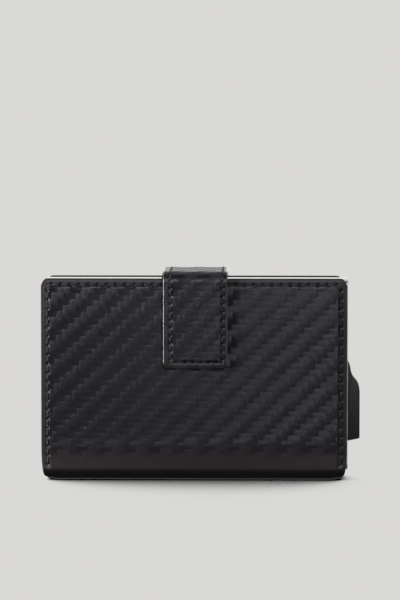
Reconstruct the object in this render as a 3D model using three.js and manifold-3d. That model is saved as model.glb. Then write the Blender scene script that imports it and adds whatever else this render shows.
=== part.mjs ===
// Bifold card wallet with an aluminium card case inside, standing on its spine.
// Millimetres. +X is right, +Y is towards the back, +Z is up.
// The origin is the middle of the spine's flat underside.
import * as THREE from "three";
import { mergeVertices } from "three/addons/utils/BufferGeometryUtils.js";
import Module from "manifold-3d";

const wasm = await Module();
wasm.setup();

// ---- driving dimensions -------------------------------------------------

const COVER_WIDTH = 100;
const COVER_HEIGHT = 66.6;
const BACK_NARROWER = 0.4; // each side edge of the back cover stands in by this much
const BACK_HEIGHT = 66.2;
const WALLET_DEPTH = 17.8;
const TOP_CORNER = 3;
const BACK_CORNER = 4;
const SPINE_INSET = 0.8; // each side edge draws in this much at the spine
const INSET_HEIGHT = 13; // and is straight again above this height
const FOLD_RADIUS = 4; // outer radius of the two folds along the spine

const LEATHER = 1.3;
const BOARD = 0.6;
const LINING = 0.9;
const POCKET = 0.8;
const GLUE_GAP = 0.05; // between layers that are bonded or lie on each other
const FOLD_GAP = THREE.MathUtils.degToRad(1.5); // each side of a split through a fold
const HALF_FOLD = Math.PI / 4; // every fold is split half way round its bend

const CASE_LEFT = -48.8;
const CASE_RIGHT = 50.5;
const CASE_BOTTOM = 3;
const CASE_HEIGHT = 63.1;
const CASE_DEPTH = 8.6;
const CASE_WALL = 0.7;
const CASE_CORNER = 2.2;
const CASE_CLEARANCE = 0.4; // between the case and the card pockets in front of it
const CASE_PAD = 0.4;
const CARD_CHANNEL = 55.2; // room for a 53.98 mm wide card

const STRAP_LEFT = -10.1;
const STRAP_RIGHT = 11;
const STRAP_LEATHER = 1.2;
const STRAP_LINING = 0.75;
const STRAP_RISE = 0.4; // underside of the strap above the cover tops
const STRAP_CORNER = 2.2;
const TAB_BOTTOM = 37.2;
const TAB_GAP = 0.6; // between the tab and the front cover
const TAB_BEND = 1.5; // inner radius of the bend over the front cover
const ANCHOR_BOTTOM = 38.6;
const ANCHOR_BEND = 0.9; // inner radius of the bend over the back cover

const SNAP_X = (STRAP_LEFT + STRAP_RIGHT) / 2;
const SNAP_Z = 44.1;
const SNAP_RADIUS = 4.6;

const PIVOT_X = 44.5;
const PIVOT_Z = 9.5;
const PIN_RADIUS = 1;
const LEVER_HUB = 2.2;
const LEVER_STEPS = 5; // one arm for each card
const LEVER_STEP = 1.15; // thickness of an arm
const LEVER_CLEARANCE = 0.1; // round the pin
const LONGEST_ARM = 48;
const ARM_STEP = 6; // each arm is this much shorter than the one behind it
const NUB_DEPTH = 4.2;

const CUT_REACH = 30; // tools for cuts run this far past the wallet's middle
const CUT_OVERRUN = 1; // and this far past a face that they open
const FINE_CURVE = 8; // segments in each arc or curve of an outline
const COARSE_CURVE = 5;

// ---- layers, from the front to the back ---------------------------------

const FRONT = -WALLET_DEPTH / 2;
const BACK = WALLET_DEPTH / 2;

// Layers stacked from a starting face, as [near, far] pairs with a glue gap between them.
function stack(start, direction, thicknesses) {
  let face = start;
  return thicknesses.map((thickness) => {
    const far = face + direction * thickness;
    const layer = [Math.min(face, far), Math.max(face, far)];
    face = far + direction * GLUE_GAP;
    return layer;
  });
}

const [, FRONT_BOARD_Y, FRONT_LINING_Y, UPPER_POCKET_Y, LOWER_POCKET_Y] = stack(
  FRONT,
  1,
  [LEATHER, BOARD, LINING, POCKET, POCKET],
);
const CASE_FRONT = LOWER_POCKET_Y[1] + CASE_CLEARANCE;
const CASE_BACK = CASE_FRONT + CASE_DEPTH;
const CASE_MIDDLE = (CASE_FRONT + CASE_BACK) / 2;
const CASE_TOP = CASE_BOTTOM + CASE_HEIGHT;
const [PAD_Y, BACK_LINING_Y] = stack(CASE_BACK + GLUE_GAP, 1, [CASE_PAD, LINING]);
const [, BACK_BOARD_Y] = stack(BACK, -1, [LEATHER, BOARD]);

// ---- geometry helpers ----------------------------------------------------

// A closed three.js geometry as a solid for cutting and joining.
function solid(geometry) {
  const bare = geometry.clone();
  bare.deleteAttribute("normal");
  bare.deleteAttribute("uv");
  const merged = mergeVertices(bare, 1e-4);
  return new wasm.Manifold(
    new wasm.Mesh({
      numProp: 3,
      vertProperties: merged.attributes.position.array,
      triVerts: new Uint32Array(merged.index.array),
    }),
  );
}

// A solid back as a three.js geometry.
function geometryOf(body) {
  const made = body.getMesh();
  const geometry = new THREE.BufferGeometry();
  geometry.setAttribute("position", new THREE.BufferAttribute(made.vertProperties, 3));
  geometry.setIndex(new THREE.BufferAttribute(made.triVerts, 1));
  return geometry.toNonIndexed();
}

// An outline drawn in X and Z, made into a slab between two depths.
function slab(shape, [near, far], curveSegments = FINE_CURVE) {
  const geometry = new THREE.ExtrudeGeometry(shape, {
    depth: far - near,
    bevelEnabled: false,
    curveSegments,
  });
  return geometry.rotateX(Math.PI / 2).translate(0, far, 0);
}

// An outline drawn in Y and Z, made into a bar between two places along X.
function bar(shape, left, right, curveSegments = FINE_CURVE) {
  const geometry = new THREE.ExtrudeGeometry(shape, {
    depth: right - left,
    bevelEnabled: false,
    curveSegments,
  });
  const axes = new THREE.Matrix4().makeBasis(
    new THREE.Vector3(0, 1, 0),
    new THREE.Vector3(0, 0, 1),
    new THREE.Vector3(1, 0, 0),
  );
  return geometry.applyMatrix4(axes).translate(left, 0, 0);
}

// A round bar along Y.
function disc(radius, x, z, [near, far], sides = 32) {
  const geometry = new THREE.CylinderGeometry(radius, radius, far - near, sides);
  return geometry.translate(x, (near + far) / 2, z);
}

// A rectangle with its own radius at the lower and at the upper corners.
function roundedRectangle(left, right, low, high, lowRadius, highRadius) {
  const shape = new THREE.Shape();
  shape.moveTo(left + lowRadius, low);
  shape.lineTo(right - lowRadius, low);
  if (lowRadius) shape.absarc(right - lowRadius, low + lowRadius, lowRadius, -Math.PI / 2, 0);
  shape.lineTo(right, high - highRadius);
  if (highRadius) shape.absarc(right - highRadius, high - highRadius, highRadius, 0, Math.PI / 2);
  shape.lineTo(left + highRadius, high);
  if (highRadius) {
    shape.absarc(left + highRadius, high - highRadius, highRadius, Math.PI / 2, Math.PI);
  }
  shape.lineTo(left, low + lowRadius);
  if (lowRadius) {
    shape.absarc(left + lowRadius, low + lowRadius, lowRadius, Math.PI, 1.5 * Math.PI);
  }
  return shape;
}

// Points of a bend about a centre, its angle counted from straight along `up`
// (1 for a bend over the top, -1 for one under the bottom) towards `side`.
function bend({ y, z, side, up }, radius, from, to, steps = 6) {
  return Array.from({ length: steps + 1 }, (_, i) => {
    const angle = from + ((to - from) * i) / steps;
    return new THREE.Vector2(
      y + side * radius * Math.sin(angle),
      z + up * radius * Math.cos(angle),
    );
  });
}

function part(name, geometry, colour, roughness, metalness = 0) {
  const material = new THREE.MeshStandardMaterial({ color: colour, roughness, metalness });
  const mesh = new THREE.Mesh(geometry, material);
  mesh.name = name;
  return mesh;
}

const leatherPart = (name, geometry) => part(name, geometry, 0x1c1d1f, 0.55);
const liningPart = (name, geometry) => part(name, geometry, 0x1a1a1b, 0.7);
const boardPart = (name, geometry) => part(name, geometry, 0x8c7f6a, 0.9);
const plasticPart = (name, geometry) => part(name, geometry, 0x17181a, 0.6);
const nickelPart = (name, geometry) => part(name, geometry, 0xb4b6b8, 0.3, 0.9);

// ---- covers ---------------------------------------------------------------

const frontFold = { y: FRONT + FOLD_RADIUS, z: FOLD_RADIUS, side: -1, up: -1 };
const backFold = { y: BACK - FOLD_RADIUS, z: FOLD_RADIUS, side: 1, up: -1 };
const FRONT_SIZE = { half: COVER_WIDTH / 2, height: COVER_HEIGHT, corner: TOP_CORNER };
const BACK_SIZE = {
  half: COVER_WIDTH / 2 - BACK_NARROWER,
  height: BACK_HEIGHT,
  corner: BACK_CORNER,
};

// Outline of a cover seen from the front, with the edges drawn in at the spine.
function coverOutline({ half, height, corner }) {
  const spineHalf = COVER_WIDTH / 2 - SPINE_INSET;
  const shape = new THREE.Shape();
  shape.moveTo(-spineHalf, -CUT_OVERRUN);
  shape.lineTo(spineHalf, -CUT_OVERRUN);
  shape.lineTo(spineHalf, 0);
  shape.quadraticCurveTo(half, INSET_HEIGHT / 3, half, INSET_HEIGHT);
  shape.lineTo(half, height - corner);
  shape.absarc(half - corner, height - corner, corner, 0, Math.PI / 2);
  shape.lineTo(corner - half, height);
  shape.absarc(corner - half, height - corner, corner, Math.PI / 2, Math.PI);
  shape.lineTo(-half, INSET_HEIGHT);
  shape.quadraticCurveTo(-half, INSET_HEIGHT / 3, -spineHalf, 0);
  return shape;
}

// Outer leather of one cover: a flat panel with the upper half of its fold.
function coverLeather(fold, size) {
  const inner = FOLD_RADIUS - LEATHER;
  const start = HALF_FOLD + FOLD_GAP;
  const outerFace = bend(fold, FOLD_RADIUS, start, Math.PI / 2);
  const innerFace = bend(fold, inner, Math.PI / 2, start);
  const outerY = fold.y + fold.side * FOLD_RADIUS;
  const innerY = fold.y + fold.side * inner;
  const profile = new THREE.Shape([
    ...outerFace,
    new THREE.Vector2(outerY, size.height),
    new THREE.Vector2(innerY, size.height),
    ...innerFace,
  ]);
  const trim = slab(coverOutline(size), [-CUT_REACH, CUT_REACH]);
  return solid(bar(profile, -size.half, size.half)).intersect(solid(trim));
}

// Leather along the spine: the flat that the wallet stands on and the lower half of both folds.
function spineLeather() {
  const inner = FOLD_RADIUS - LEATHER;
  const end = HALF_FOLD - FOLD_GAP;
  const profile = new THREE.Shape([
    ...bend(frontFold, FOLD_RADIUS, end, 0),
    ...bend(backFold, FOLD_RADIUS, 0, end),
    ...bend(backFold, inner, end, 0),
    ...bend(frontFold, inner, 0, end),
  ]);
  const half = COVER_WIDTH / 2 - SPINE_INSET;
  return bar(profile, -half, half);
}

const LINING_INSET = 0.4; // the lining stops this short of the leather's edge
const LINING_BOTTOM = 3.2;
const BOARD_INSET = 3.4;
const BOARD_HALF = COVER_WIDTH / 2 - BOARD_INSET;
const LINING_HALF = COVER_WIDTH / 2 - LINING_INSET;
const BOARD_BOTTOM = 6;
const BILL_POCKET_TOP = 64.8;
const UPPER_POCKET_TOP = 52;
const LOWER_POCKET_TOP = 42;
const POCKET_CORNER = 0.6;
const SPINE_LINING_HALF = 4.4;

function coverPanel(half, low, high, corner, layer) {
  return slab(roundedRectangle(-half, half, low, high, POCKET_CORNER, corner), layer);
}

// Hidden press stud: the stud and its rivet on the front cover, the socket and its cap in the tab.
const STUD_FLANGE = 0.45;
const STUD_RECESS = 0.3;
const STUD_BALL = 2;
const STUD_NECK = 1.75;
const NECK_FILLET = 0.25;
const BALL_EDGE = 0.25; // chamfer at the ball's front
const RIVET_SHANK = 1.1;
const RIVET_HEAD = 4;
const RIVET_HOLE = 1.5;
const SNAP_GAP = 0.2; // round the metal where it passes through leather
const TAB_INNER = FRONT - TAB_GAP;
const [TAB_LINING_Y, TAB_LEATHER_Y] = stack(TAB_INNER, -1, [STRAP_LINING, STRAP_LEATHER]);
const CAP_DEPTH = 0.4;

// A turned piece about the snap's axis: radius against distance in front of a depth y.
function turned(profile, y, segments = 32) {
  const points = profile.map(([radius, forward]) => new THREE.Vector2(radius, forward));
  const geometry = new THREE.LatheGeometry(points, segments);
  return geometry.rotateX(Math.PI).translate(SNAP_X, y, SNAP_Z);
}

function snapStud() {
  const sunk = -STUD_RECESS;
  const flangeTop = sunk + STUD_FLANGE;
  const ballTop = TAB_GAP + STRAP_LINING - GLUE_GAP;
  return turned(
    [
      [RIVET_HOLE, sunk],
      [SNAP_RADIUS, sunk],
      [SNAP_RADIUS, flangeTop],
      [STUD_NECK + NECK_FILLET, flangeTop],
      [STUD_NECK, flangeTop + NECK_FILLET],
      [STUD_BALL, ballTop - BALL_EDGE],
      [STUD_BALL - BALL_EDGE, ballTop],
      [RIVET_HOLE, ballTop],
      [RIVET_HOLE, sunk],
    ],
    FRONT,
  );
}

function snapRivet() {
  const headBack = -LEATHER - GLUE_GAP - BOARD;
  const headFront = -LEATHER - GLUE_GAP;
  return turned(
    [
      [0, headBack],
      [RIVET_HEAD, headBack],
      [RIVET_HEAD, headFront],
      [RIVET_SHANK, headFront],
      [RIVET_SHANK, TAB_GAP],
      [0, TAB_GAP],
    ],
    FRONT,
  );
}

function snapSocket() {
  const back = TAB_GAP - SNAP_GAP;
  const front = TAB_GAP + STRAP_LINING;
  const bore = STUD_BALL + SNAP_GAP;
  return turned(
    [
      [bore, back],
      [SNAP_RADIUS, back],
      [SNAP_RADIUS, front],
      [bore, front],
      [bore, back],
    ],
    FRONT,
  );
}

function frontCover() {
  const body = new THREE.Group();
  const recessBottom = FRONT + STUD_RECESS + GLUE_GAP;
  const recess = disc(SNAP_RADIUS + SNAP_GAP, SNAP_X, SNAP_Z, [FRONT - CUT_OVERRUN, recessBottom]);
  const shankHole = disc(RIVET_HOLE, SNAP_X, SNAP_Z, [FRONT - CUT_OVERRUN, FRONT_BOARD_Y[1]]);
  const leather = coverLeather(frontFold, FRONT_SIZE)
    .subtract(solid(recess))
    .subtract(solid(shankHole));
  const rivetHole = disc(SNAP_RADIUS, SNAP_X, SNAP_Z, [FRONT, 0]);
  const board = solid(
    coverPanel(BOARD_HALF, BOARD_BOTTOM, COVER_HEIGHT - BOARD_INSET, POCKET_CORNER, FRONT_BOARD_Y),
  ).subtract(solid(rivetHole));
  const liningTop = COVER_HEIGHT - LINING_INSET;
  const liningCorner = TOP_CORNER - LINING_INSET;
  body.add(
    leatherPart("front_cover_leather", geometryOf(leather)),
    boardPart("front_cover_board", geometryOf(board)),
    liningPart(
      "front_lining",
      coverPanel(LINING_HALF, LINING_BOTTOM, liningTop, liningCorner, FRONT_LINING_Y),
    ),
    leatherPart(
      "card_pocket_upper",
      coverPanel(LINING_HALF, LINING_BOTTOM, UPPER_POCKET_TOP, POCKET_CORNER, UPPER_POCKET_Y),
    ),
    leatherPart(
      "card_pocket_lower",
      coverPanel(LINING_HALF, LINING_BOTTOM, LOWER_POCKET_TOP, POCKET_CORNER, LOWER_POCKET_Y),
    ),
    nickelPart("snap_stud", snapStud()),
    nickelPart("snap_rivet", snapRivet()),
  );
  return body;
}

function spine() {
  const body = new THREE.Group();
  const half = COVER_WIDTH / 2 - SPINE_INSET - LINING_INSET;
  const low = LEATHER + GLUE_GAP;
  const section = roundedRectangle(-SPINE_LINING_HALF, SPINE_LINING_HALF, low, low + LINING, 0, 0);
  body.add(
    leatherPart("spine_leather", spineLeather()),
    liningPart("spine_lining", bar(section, -half, half)),
  );
  return body;
}

function backCover() {
  const body = new THREE.Group();
  body.add(
    leatherPart("back_cover_leather", geometryOf(coverLeather(backFold, BACK_SIZE))),
    boardPart(
      "back_cover_board",
      coverPanel(BOARD_HALF, BOARD_BOTTOM, BACK_HEIGHT - BOARD_INSET, POCKET_CORNER, BACK_BOARD_Y),
    ),
    liningPart(
      "back_lining",
      coverPanel(
        LINING_HALF - BACK_NARROWER,
        LINING_BOTTOM,
        BILL_POCKET_TOP,
        POCKET_CORNER,
        BACK_LINING_Y,
      ),
    ),
  );
  return body;
}

// ---- card case --------------------------------------------------------------

const GUIDE_GAP = 0.08; // between the moulded guide and the aluminium round it
const GUIDE_LEFT = -47.4;
const END_WALL = 1.6;
const END_WALL_BACK = 0.2; // the end wall sits this far inside the case's end
const NUB_SLOT_LOW = 10.4;
const NUB_SLOT_HIGH = 40.6;
const NUB_CLEARANCE = 0.3;
const BRAKE_THICKNESS = 0.9;
const BRAKE_LEFT = -47;
const BRAKE_WIDTH = 5.5;
const BRAKE_INSET = 1.2;
const PAD_INSET = 5;

function caseOutline(inset) {
  return roundedRectangle(
    CASE_FRONT + inset,
    CASE_BACK - inset,
    CASE_BOTTOM + inset,
    CASE_TOP - inset,
    CASE_CORNER - inset,
    CASE_CORNER - inset,
  );
}

// Extruded aluminium sleeve, open at the left for the cards and at the right for the guide.
function caseShell() {
  const ring = caseOutline(0);
  ring.holes.push(caseOutline(CASE_WALL));
  const pinHole = disc(PIN_RADIUS + GUIDE_GAP, PIVOT_X, PIVOT_Z, [
    CASE_FRONT - CUT_OVERRUN,
    CASE_BACK + CUT_OVERRUN,
  ]);
  return solid(bar(ring, CASE_LEFT, CASE_RIGHT, COARSE_CURVE)).subtract(solid(pinHole));
}

// Moulded guide: a rail under and over the cards, joined by the end wall with the lever's slot.
function caseGuide() {
  const outside = caseOutline(CASE_WALL + GUIDE_GAP);
  const right = CASE_RIGHT - END_WALL_BACK;
  const block = solid(bar(outside, GUIDE_LEFT, right, COARSE_CURVE));
  const middle = (CASE_BOTTOM + CASE_TOP) / 2;
  const channel = roundedRectangle(
    CASE_FRONT,
    CASE_BACK,
    middle - CARD_CHANNEL / 2,
    middle + CARD_CHANNEL / 2,
    0,
    0,
  );
  const slot = roundedRectangle(
    CASE_MIDDLE - NUB_DEPTH / 2 - NUB_CLEARANCE,
    CASE_MIDDLE + NUB_DEPTH / 2 + NUB_CLEARANCE,
    NUB_SLOT_LOW,
    NUB_SLOT_HIGH,
    0,
    0,
  );
  return block
    .subtract(solid(bar(channel, GUIDE_LEFT - CUT_OVERRUN, right - END_WALL)))
    .subtract(solid(bar(slot, right - END_WALL - CUT_OVERRUN, right + CUT_OVERRUN)));
}

function brakeStrip(face, direction) {
  const near = face + direction * (CASE_WALL + GLUE_GAP);
  const far = near + direction * BRAKE_THICKNESS;
  const middle = (CASE_BOTTOM + CASE_TOP) / 2;
  const reach = CARD_CHANNEL / 2 - BRAKE_INSET;
  const outline = roundedRectangle(
    BRAKE_LEFT,
    BRAKE_LEFT + BRAKE_WIDTH,
    middle - reach,
    middle + reach,
    POCKET_CORNER,
    POCKET_CORNER,
  );
  return slab(outline, [Math.min(near, far), Math.max(near, far)], COARSE_CURVE);
}

function cardCase() {
  const body = new THREE.Group();
  const padOutline = roundedRectangle(
    CASE_LEFT + PAD_INSET,
    CASE_RIGHT - PAD_INSET,
    CASE_BOTTOM + PAD_INSET,
    CASE_TOP - PAD_INSET,
    POCKET_CORNER,
    POCKET_CORNER,
  );
  body.add(
    part("case_shell", geometryOf(caseShell()), 0xc4c6c8, 0.35, 0.9),
    plasticPart("case_guide", geometryOf(caseGuide())),
    nickelPart("lever_pin", disc(PIN_RADIUS, PIVOT_X, PIVOT_Z, [CASE_FRONT, CASE_BACK])),
    part("brake_strip_front", brakeStrip(CASE_FRONT, 1), 0x1d1d1e, 0.95),
    part("brake_strip_back", brakeStrip(CASE_BACK, -1), 0x1d1d1e, 0.95),
    part("case_adhesive_pad", slab(padOutline, PAD_Y, COARSE_CURVE), 0xd8d4c8, 0.8),
  );
  return body;
}

// ---- ejector lever --------------------------------------------------------

const ARM_LEFT = -5.2; // from the pivot to the face that pushes the cards
const ARM_RIGHT = -2.2;

// An arm's plate, from beside the hub up the right edge of the cards.
function leverArm(length, layer) {
  const outline = roundedRectangle(
    PIVOT_X + ARM_LEFT,
    PIVOT_X + ARM_RIGHT,
    PIVOT_Z,
    PIVOT_Z + length,
    0,
    0,
  );
  return solid(slab(outline, layer));
}

// The finger nub from its foot to its tip: each row is a curve's control point and its end.
const NUB_FOOT = [50.5, 12.4];
const NUB_FACE_X = 54.5;
const NUB_TIP = [50, 39.3];
const NUB_TIP_WIDTH = 2;
const NUB_EDGE = 0.5; // radius at the lower end of the flat face
const NUB_RISE = 0.7; // the lower edge climbs this much on its way out
const NUB_ROOT_WIDTH = 1.5;
const NUB_LOW_CORNER = [
  [NUB_FACE_X, 13.2],
  [NUB_FACE_X, 13.8],
];
const NUB_FACE_TOP = 28.6;
const NUB_SHOULDER = [
  [54.4, 31.6],
  [52.8, 33],
];
const NUB_WAIST = [
  [51.7, 34.2],
  [51.5, 36],
];
const NUB_TAIL = [[51.3, 38.2], NUB_TIP];

// The nub with its flat outer face, a round shoulder and a long tail at its upper end.
function leverNub() {
  const shape = new THREE.Shape();
  const curve = ([control, end]) => shape.quadraticCurveTo(...control, ...end);
  shape.moveTo(PIVOT_X, PIVOT_Z - LEVER_HUB);
  shape.lineTo(...NUB_FOOT);
  shape.lineTo(NUB_FACE_X - NUB_EDGE, NUB_FOOT[1] + NUB_RISE);
  curve(NUB_LOW_CORNER);
  shape.lineTo(NUB_FACE_X, NUB_FACE_TOP);
  curve(NUB_SHOULDER);
  curve(NUB_WAIST);
  curve(NUB_TAIL);
  shape.lineTo(NUB_TIP[0] - NUB_TIP_WIDTH, NUB_TIP[1]);
  shape.lineTo(PIVOT_X + NUB_ROOT_WIDTH, PIVOT_Z + LEVER_HUB);
  shape.lineTo(PIVOT_X, PIVOT_Z + LEVER_HUB);
  const layer = [CASE_MIDDLE - NUB_DEPTH / 2, CASE_MIDDLE + NUB_DEPTH / 2];
  return solid(slab(shape, layer, COARSE_CURVE));
}

function ejectorLever() {
  const body = new THREE.Group();
  const depth = LEVER_STEPS * LEVER_STEP;
  const front = CASE_MIDDLE - depth / 2;
  const hubLayer = [front, front + depth];
  const foot = roundedRectangle(
    PIVOT_X + ARM_LEFT,
    PIVOT_X,
    PIVOT_Z,
    PIVOT_Z + LEVER_HUB,
    0,
    0,
  );
  let lever = solid(disc(LEVER_HUB, PIVOT_X, PIVOT_Z, hubLayer))
    .add(leverNub())
    .add(solid(slab(foot, hubLayer)));
  // The steps nest: each longer plate starts one step further back.
  for (let i = 0; i < LEVER_STEPS; i += 1) {
    const length = LONGEST_ARM - (LEVER_STEPS - 1 - i) * ARM_STEP;
    lever = lever.add(leverArm(length, [front + i * LEVER_STEP, hubLayer[1]]));
  }
  const bore = disc(PIN_RADIUS + LEVER_CLEARANCE, PIVOT_X, PIVOT_Z, [CASE_FRONT, CASE_BACK]);
  body.add(plasticPart("ejector_lever", geometryOf(lever.subtract(solid(bore)))));
  return body;
}

// ---- closing strap ----------------------------------------------------------

const STRAP_THICKNESS = STRAP_LEATHER + GLUE_GAP + STRAP_LINING;
const STRAP_UNDERSIDE = COVER_HEIGHT + STRAP_RISE;
const anchorBend = {
  y: BACK + GLUE_GAP - ANCHOR_BEND,
  z: STRAP_UNDERSIDE - ANCHOR_BEND,
  side: 1,
  up: 1,
};
const tabBend = { y: TAB_INNER + TAB_BEND, z: STRAP_UNDERSIDE - TAB_BEND, side: -1, up: 1 };

// The two layers of the strap as [inner, outer] distances from its underside.
const STRAP_LAYERS = {
  lining: [0, STRAP_LINING],
  leather: [STRAP_LINING + GLUE_GAP, STRAP_THICKNESS],
};

// A stretch that hangs straight down from the outer half of a bend, with round lower corners.
function hangingStretch(centre, innerRadius, bottom, [near, far]) {
  const inner = innerRadius + near;
  const outer = innerRadius + far;
  const start = HALF_FOLD + FOLD_GAP;
  const profile = new THREE.Shape([
    ...bend(centre, outer, start, Math.PI / 2),
    new THREE.Vector2(centre.y + centre.side * outer, bottom),
    new THREE.Vector2(centre.y + centre.side * inner, bottom),
    ...bend(centre, inner, Math.PI / 2, start),
  ]);
  const top = COVER_HEIGHT + CUT_REACH;
  const trim = roundedRectangle(STRAP_LEFT, STRAP_RIGHT, bottom, top, STRAP_CORNER, 0);
  return solid(bar(profile, STRAP_LEFT, STRAP_RIGHT)).intersect(
    solid(slab(trim, [-CUT_REACH, CUT_REACH])),
  );
}

// The stretch over the top, from half way round one bend to half way round the other.
function bridgeStretch([near, far]) {
  const end = HALF_FOLD - FOLD_GAP;
  const profile = new THREE.Shape([
    ...bend(anchorBend, ANCHOR_BEND + far, end, 0),
    ...bend(tabBend, TAB_BEND + far, 0, end),
    ...bend(tabBend, TAB_BEND + near, end, 0),
    ...bend(anchorBend, ANCHOR_BEND + near, 0, end),
  ]);
  return bar(profile, STRAP_LEFT, STRAP_RIGHT);
}

function strapAnchor() {
  const body = new THREE.Group();
  const stretch = (layer) =>
    geometryOf(hangingStretch(anchorBend, ANCHOR_BEND, ANCHOR_BOTTOM, layer));
  body.add(
    leatherPart("strap_anchor_leather", stretch(STRAP_LAYERS.leather)),
    liningPart("strap_anchor_lining", stretch(STRAP_LAYERS.lining)),
  );
  return body;
}

function strapBridge() {
  const body = new THREE.Group();
  body.add(
    leatherPart("strap_bridge_leather", bridgeStretch(STRAP_LAYERS.leather)),
    liningPart("strap_bridge_lining", bridgeStretch(STRAP_LAYERS.lining)),
  );
  return body;
}

function strapTab() {
  const body = new THREE.Group();
  const stretch = (layer) => hangingStretch(tabBend, TAB_BEND, TAB_BOTTOM, layer);
  const socketHole = disc(SNAP_RADIUS + SNAP_GAP, SNAP_X, SNAP_Z, [
    TAB_LINING_Y[0] - GLUE_GAP,
    TAB_LINING_Y[1] + GLUE_GAP,
  ]);
  const capFront = TAB_LEATHER_Y[1] - CAP_DEPTH;
  const capHole = disc(SNAP_RADIUS + SNAP_GAP, SNAP_X, SNAP_Z, [capFront - GLUE_GAP, TAB_INNER]);
  body.add(
    leatherPart(
      "strap_tab_leather",
      geometryOf(stretch(STRAP_LAYERS.leather).subtract(solid(capHole))),
    ),
    liningPart(
      "strap_tab_lining",
      geometryOf(stretch(STRAP_LAYERS.lining).subtract(solid(socketHole))),
    ),
    nickelPart("snap_socket", snapSocket()),
    nickelPart("snap_cap", disc(SNAP_RADIUS, SNAP_X, SNAP_Z, [capFront, TAB_LEATHER_Y[1]])),
  );
  return body;
}

// ---- the wallet ---------------------------------------------------------------

const wallet = new THREE.Group();
wallet.add(
  backCover(),
  cardCase(),
  strapAnchor(),
  spine(),
  frontCover(),
  strapBridge(),
  strapTab(),
  ejectorLever(),
);

export default wallet;
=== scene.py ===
"""Looks of the bifold card wallet: embossed leather, stitching, card case, lever and press stud.

Lengths are in millimetres up to the point where vertices are written, and x runs to the right,
y to the back and z up, as in the frame.
"""
import math

import bmesh
import bpy
import numpy as np
from mathutils import Matrix, Vector


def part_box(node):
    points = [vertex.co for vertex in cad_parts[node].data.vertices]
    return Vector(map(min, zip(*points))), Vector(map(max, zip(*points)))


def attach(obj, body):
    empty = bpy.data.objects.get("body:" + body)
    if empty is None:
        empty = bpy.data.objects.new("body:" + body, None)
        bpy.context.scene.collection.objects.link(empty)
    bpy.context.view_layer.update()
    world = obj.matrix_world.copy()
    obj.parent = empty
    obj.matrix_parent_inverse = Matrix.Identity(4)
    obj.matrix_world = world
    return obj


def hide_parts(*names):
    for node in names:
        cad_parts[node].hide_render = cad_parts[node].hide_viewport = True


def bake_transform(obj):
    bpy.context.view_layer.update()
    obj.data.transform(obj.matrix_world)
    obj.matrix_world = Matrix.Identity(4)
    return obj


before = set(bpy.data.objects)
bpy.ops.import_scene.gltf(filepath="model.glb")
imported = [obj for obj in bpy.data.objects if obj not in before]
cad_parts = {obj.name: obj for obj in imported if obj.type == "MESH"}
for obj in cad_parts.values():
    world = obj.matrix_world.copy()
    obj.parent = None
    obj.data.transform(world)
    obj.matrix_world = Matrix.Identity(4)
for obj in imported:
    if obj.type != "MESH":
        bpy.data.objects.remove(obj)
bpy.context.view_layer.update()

MM = 0.001


def box_mm(node):
    """A CAD node's lowest and highest corners in millimetres."""
    low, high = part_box(node)
    return np.array(low) / MM, np.array(high) / MM


# ---- sizes, taken from the frame where it holds them --------------------------------

COVER_LOW, COVER_HIGH = box_mm("front_cover_leather")
BACK_HIGH = box_mm("back_cover_leather")[1]
TAB_LOW, TAB_HIGH = box_mm("strap_tab_leather")
ANCHOR_LOW, ANCHOR_HIGH = box_mm("strap_anchor_leather")
STRAP_TOP = box_mm("strap_bridge_leather")[1][2]

HALF_LENGTHS = {"front": COVER_HIGH[0], "back": BACK_HIGH[0]}
COVER_TOPS = {"front": COVER_HIGH[2], "back": BACK_HIGH[2]}
TOP_CORNERS = {"front": 3.0, "back": 4.0}
FACE_OUT = BACK_HIGH[1]
FOLD_RADIUS = 4.0
LEATHER = 1.3
LINING = 0.9
LAYER_GAP = 0.05
EDGE_PAINT = 0.2  # how far the painted edge stands out past the leather

SPINE_HALF_LENGTH = box_mm("spine_leather")[1][0]
INSET_HEIGHT = 13.0  # up to here the side edges draw in towards the shorter spine
SPINE_ROUND = 1.6  # height of the corners where the side edges meet the spine
SPINE_ROUND_INSET = 0.9

COARSE_STEP = 0.5
GRID_STEP = 0.29
STRAP_STEP = 0.25

TOW = 1.987  # width of one tow of the embossed twill
TWILL_TURN = math.radians(2.4)
TWILL_DEPTH = 0.065
TWILL_FADE = (7, 16)  # heights over the spine between which the twill fades in
COVER_TWILL_ORIGIN = (-37.85, 66.9)  # middle of one upright float, along the spine and up the sheet
STRAP_TWILL_ORIGIN = (-2.49, 17.8)
THREAD_RADIUS = 0.23
THREAD_FLATNESS = 0.85
STITCH_LEAN = 0.2
HOLE_DEPTH = 0.30
STRAND_GAP = 0.04  # share of a stitch left free at each hole


def smooth(low, high, value):
    """A smooth step from 0 at low to 1 at high."""
    t = np.clip((value - low) / (high - low), 0, 1)
    return t * t * (3 - 2 * t)


# ---- materials ----------------------------------------------------------------------


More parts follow.
